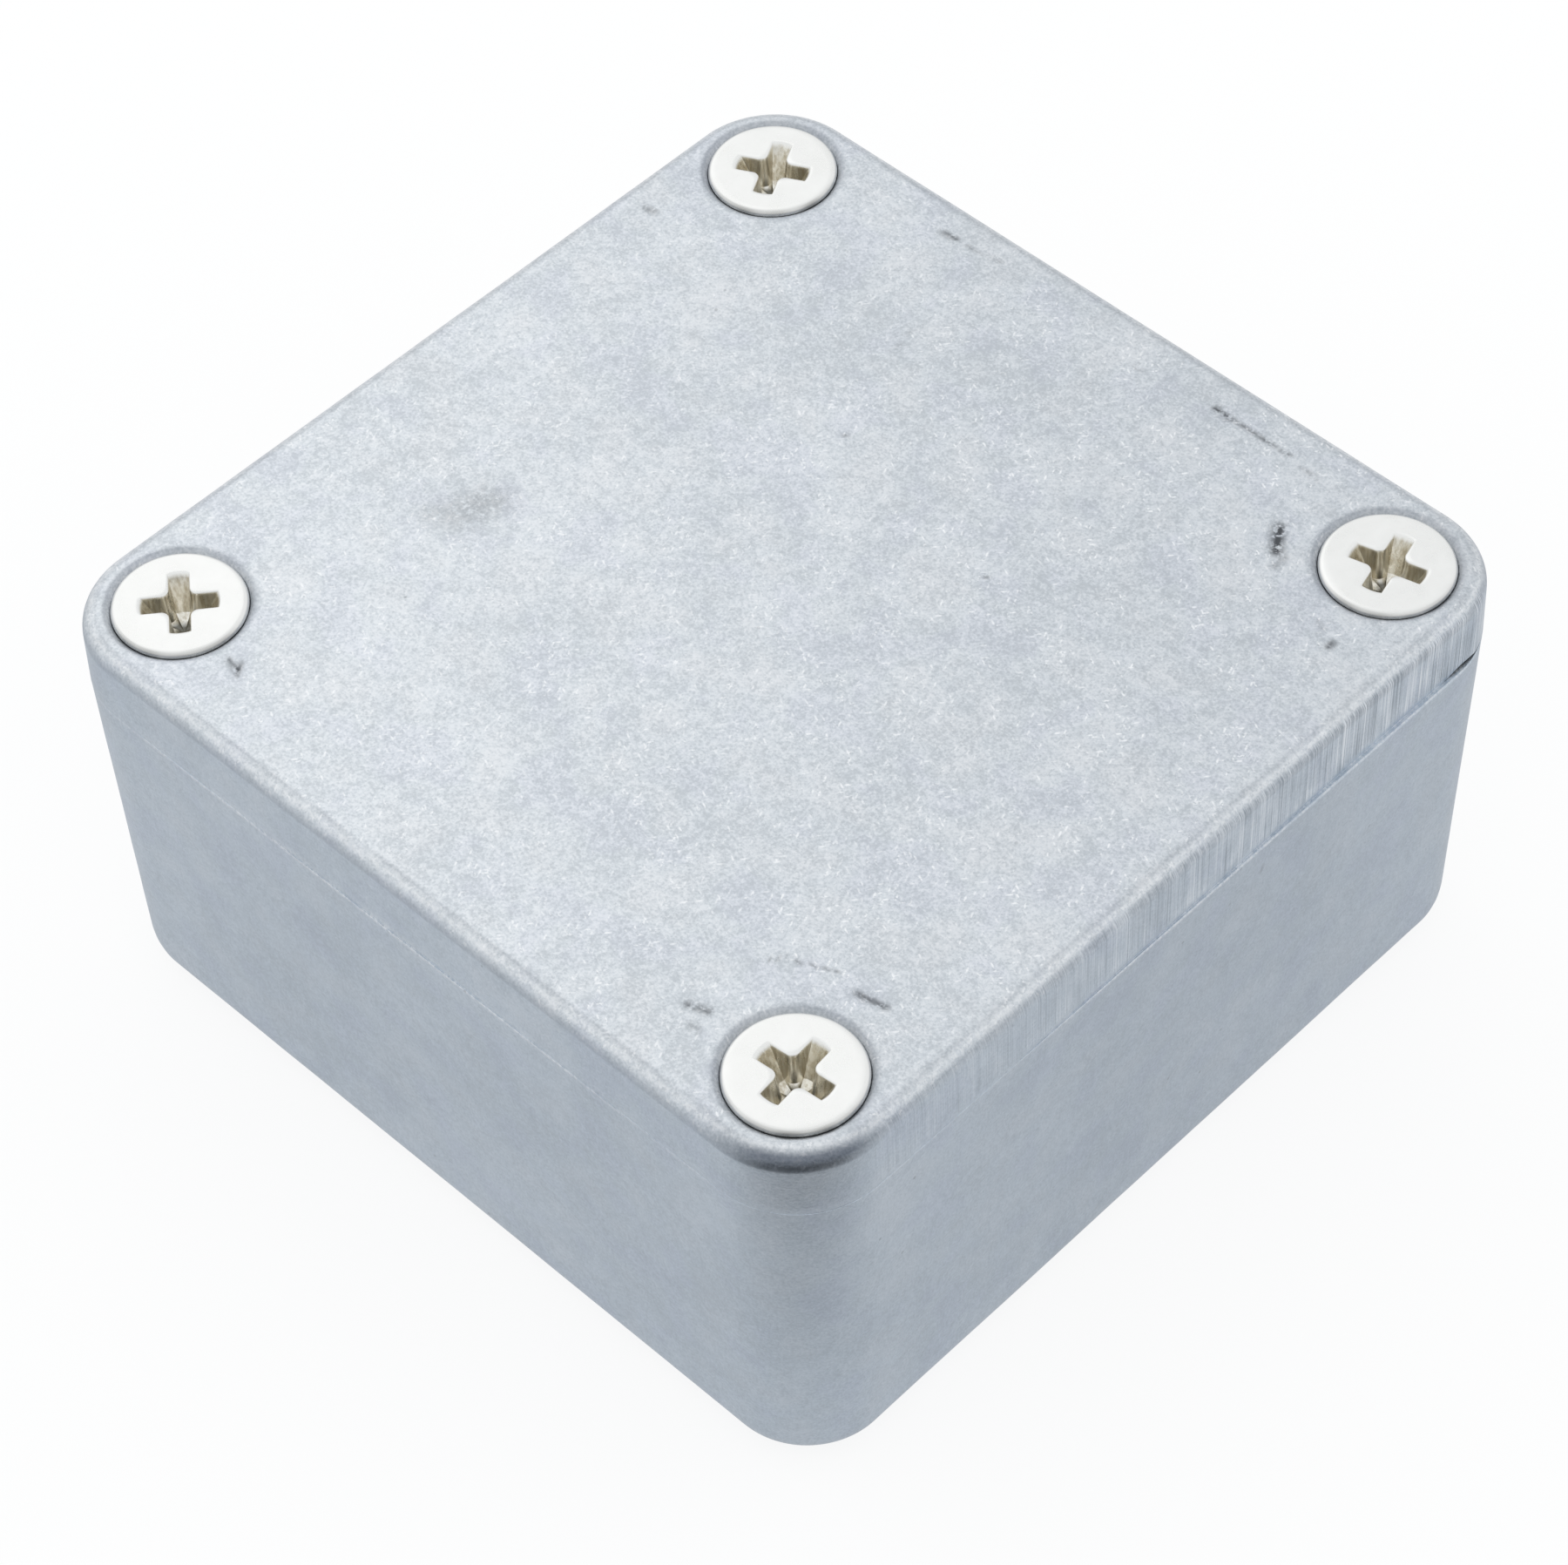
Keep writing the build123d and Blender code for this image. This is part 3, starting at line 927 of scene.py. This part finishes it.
def lid_shift(points):
    """Inward unevenness of the casting and its dents, in mm."""
    uneven = 0.006 * ripple(points, 9, 1) + 0.004 * ripple(points, 3.5, 2)
    uneven += 0.0015 * ripple(points, 1.2, 3)
    groove = 0.004 * hump(inset_of(points), 0.85, 0.12) * (points[:, 2] > TOP - 0.5)
    dents = marked(points, darkness=False)
    return np.minimum(uneven - 0.014 - groove - dents, 0) * off_parting(points)


def box_layers(points):
    """Where the box has painted shade, a painted highlight on the parting line, a paler foot, and
    scratches.
    """
    foot = hump(points[:, 2], 0.9, 0.5) * 0.3
    return {
        # Painted shade on the middle of the right side
        "painted_shade": 0.1 * on_right(points) * hump(points[:, 1], 2, 16),
        "worn": np.clip(seam_highlight(points) + foot, 0, 1),
        "stain_and_shade": sum(dark * near(points, start, end, radius) for start, end, radius, dark in BOX_MARKS),
    }


def box_shift(points):
    """Inward unevenness of the casting, in mm."""
    uneven = 0.010 * ripple(points, 11, 7) + 0.005 * ripple(points, 4, 8)
    uneven += 0.002 * ripple(points, 1.3, 9)
    return np.minimum(uneven - 0.018, 0) * off_parting(points)


def screw_layers(points):
    """Where a screw is down in its recess, and darker: in the pit, and with painted shade on the rim's
    open side.
    """
    away, depth = from_screw(points), HEAD_TOP - points[:, 2]
    inner = away < RECESS_REACH + 0.15 - 0.45 * depth
    pit = (away < 0.6) * np.clip((depth - 1.7) / 0.2, 0, 1)
    spoke = points[:, :2] - AXIS * np.sign(points[:, :2])
    towards = spoke @ OPEN_SIDE[:2] / np.maximum(away, 0.1)
    rim = np.clip((away - 3.10) / 0.12, 0, 1) * np.clip((towards - 0.25) / 0.5, 0, 1) * (depth < 0.6)
    return {
        "deep": inner * np.clip((depth - 0.05) / 0.15, 0, 1),
        "dark_pit_and_rim_shade": np.clip(pit + rim * (0.40 + 0.3 * ripple(points, 2.0, 51)), 0, 1),
    }


def screw_shift(points):
    """Slight inward unevenness of the plating, in mm."""
    return 0.002 * ripple(points, 1.5, 4) - 0.003


def softbox(name, place, aim, size, power, colour=(1, 1, 1)):
    """Square area lamp at a place in metres, facing the aim."""
    lamp = bpy.data.lights.new(name, "AREA")
    lamp.size, lamp.energy, lamp.color = size, power, colour
    holder = bpy.data.objects.new(name, lamp)
    holder.location = place
    holder.rotation_euler = (Vector(aim) - Vector(place)).to_track_quat("-Z", "Y").to_euler()
    bpy.context.scene.collection.objects.link(holder)


def photo_camera():
    """Camera fitted to the photograph's outline and screws."""
    azimuth, elevation, roll = radians(45.823), radians(50.279), radians(-2.481)
    aim, distance = Vector((1.030, -1.502, 12.5)), 232.09
    back = Vector((sin(azimuth) * cos(elevation), -cos(azimuth) * cos(elevation), sin(elevation)))
    right = Vector((cos(azimuth), sin(azimuth), 0))
    up = back.cross(right)
    across = right * cos(roll) + up * sin(roll)
    upward = up * cos(roll) - right * sin(roll)
    place = aim * MM + back * distance * MM
    turned_to = Matrix((across, upward, back)).transposed().to_4x4()
    camera = bpy.data.cameras.new("photo_camera")
    camera.lens, camera.sensor_width = 108.94, 36.0
    camera.clip_start, camera.clip_end = 0.01, 20.0
    holder = bpy.data.objects.new("photo_camera", camera)
    holder.matrix_world = Matrix.Translation(place) @ turned_to
    bpy.context.scene.collection.objects.link(holder)
    bpy.context.scene.camera = holder


def pale_floor():
    """Plain floor, white to the camera but for the object's soft shadow, and greyer in the metal."""
    mesh = bpy.data.meshes.new("floor")
    side = np.array([[-1, -1], [1, -1], [1, 1], [-1, 1]]) * 4.0
    mesh.from_pydata(at(side, 0.0), [], [(0, 1, 2, 3)])
    finish = Finish(bpy.data.materials.new("floor_paper"))
    finish.nodes.remove(finish.shader)
    rays = finish.node("LightPath").outputs
    away = finish.along(OPEN_SIDE)
    reach = finish.node("VectorMath", {"operation": "LENGTH"}, _0=finish.place).outputs["Value"]
    ahead = finish.ramp(finish.math("DIVIDE", away, reach), 0.76, 0.94)
    glossy = rays["Is Glossy Ray"]
    dark = finish.product(finish.product(ahead, finish.ramp(away, 0.028, 0.080)), glossy)
    seen = finish.total((rays["Is Camera Ray"], 0.8), (glossy, 0.7), (dark, 0.25))
    paper = finish.node("BsdfDiffuse", Color=(0.82, 0.82, 0.82)).outputs[0]
    level = finish.total(
        (dark, DARK_LEVEL - MIRRORED_FLOOR), (glossy, MIRRORED_FLOOR - FLOOR_LEVEL), (1.0, FLOOR_LEVEL),
    )
    white = finish.node("Emission", Color=(1.0, 1.0, 1.0), Strength=level).outputs[0]
    both = finish.node("MixShader", _0=seen, _1=paper, _2=white).outputs[0]
    output = finish.nodes["Material Output"]
    finish.links.new(both, output.inputs["Surface"])
    mesh.materials.append(finish.material)
    floor = bpy.data.objects.new("floor", mesh)
    bpy.context.scene.collection.objects.link(floor)


def studio_world():
    """Pale light from all round, darker on the side where the studio is open."""
    world = bpy.data.worlds.new("studio")
    bpy.context.scene.world = world
    studio = Finish(world, "Generated")
    ahead, aside, rise = studio.along(OPEN_SIDE), studio.along(ACROSS), studio.along(UPWARD)
    low, high = studio.ramp(rise, 0.06, 0.24, 0.62, 0.0), studio.ramp(rise, 0.1, 0.7, 0.2, 0.0)
    dark = studio.total((low, 1.0), (high, 1.0))
    away = studio.math("ABSOLUTE", studio.math("SUBTRACT", aside, 0.08))
    sector = studio.product(studio.ramp(away, 0.26, 0.54, 1.0, 0.0), studio.ramp(ahead, 0.1, 0.5))
    open_part = studio.math("SUBTRACT", 1.0, studio.product(dark, sector))
    all_round_level = studio.ramp(rise, 0.0, 0.42, 0.80 * WORLD_LEVEL, WORLD_LEVEL)
    level = studio.product(open_part, all_round_level)
    level = studio.larger(level, studio.node("LightPath").outputs["Is Camera Ray"])
    background = studio.nodes["Background"]
    background.inputs["Color"].default_value = (0.97, 0.99, 1.0, 1)
    studio.links.new(level, background.inputs["Strength"])


photo_camera()
studio_world()
pale_floor()
softbox("top_softbox", (-0.68, 0.16, 0.70), (0, 0, 0), 0.85, 0.46, (1.0, 0.99, 0.975))

lid_finish = cast_metal("lid_aluminium", tumbled=True)
box_finish = cast_metal("box_aluminium", tumbled=False)
nickel = plated_metal("nickel_plating")

finished("cast_lid", lid_mesh(), lid_shift, lid_layers, lid_finish, "lid", "lid_casting", "lid")
finished("cast_box", box_mesh(), box_shift, box_layers, box_finish, "box", "box_casting", "box")
for corner in RECESS_TURN:
    screw = f"screw_{corner}"
    finished(f"countersunk_{screw}", screw_mesh(corner), screw_shift, screw_layers, nickel,
             screw, "screw_plating", screw)

bpy.context.scene.view_settings.view_transform = "Standard"
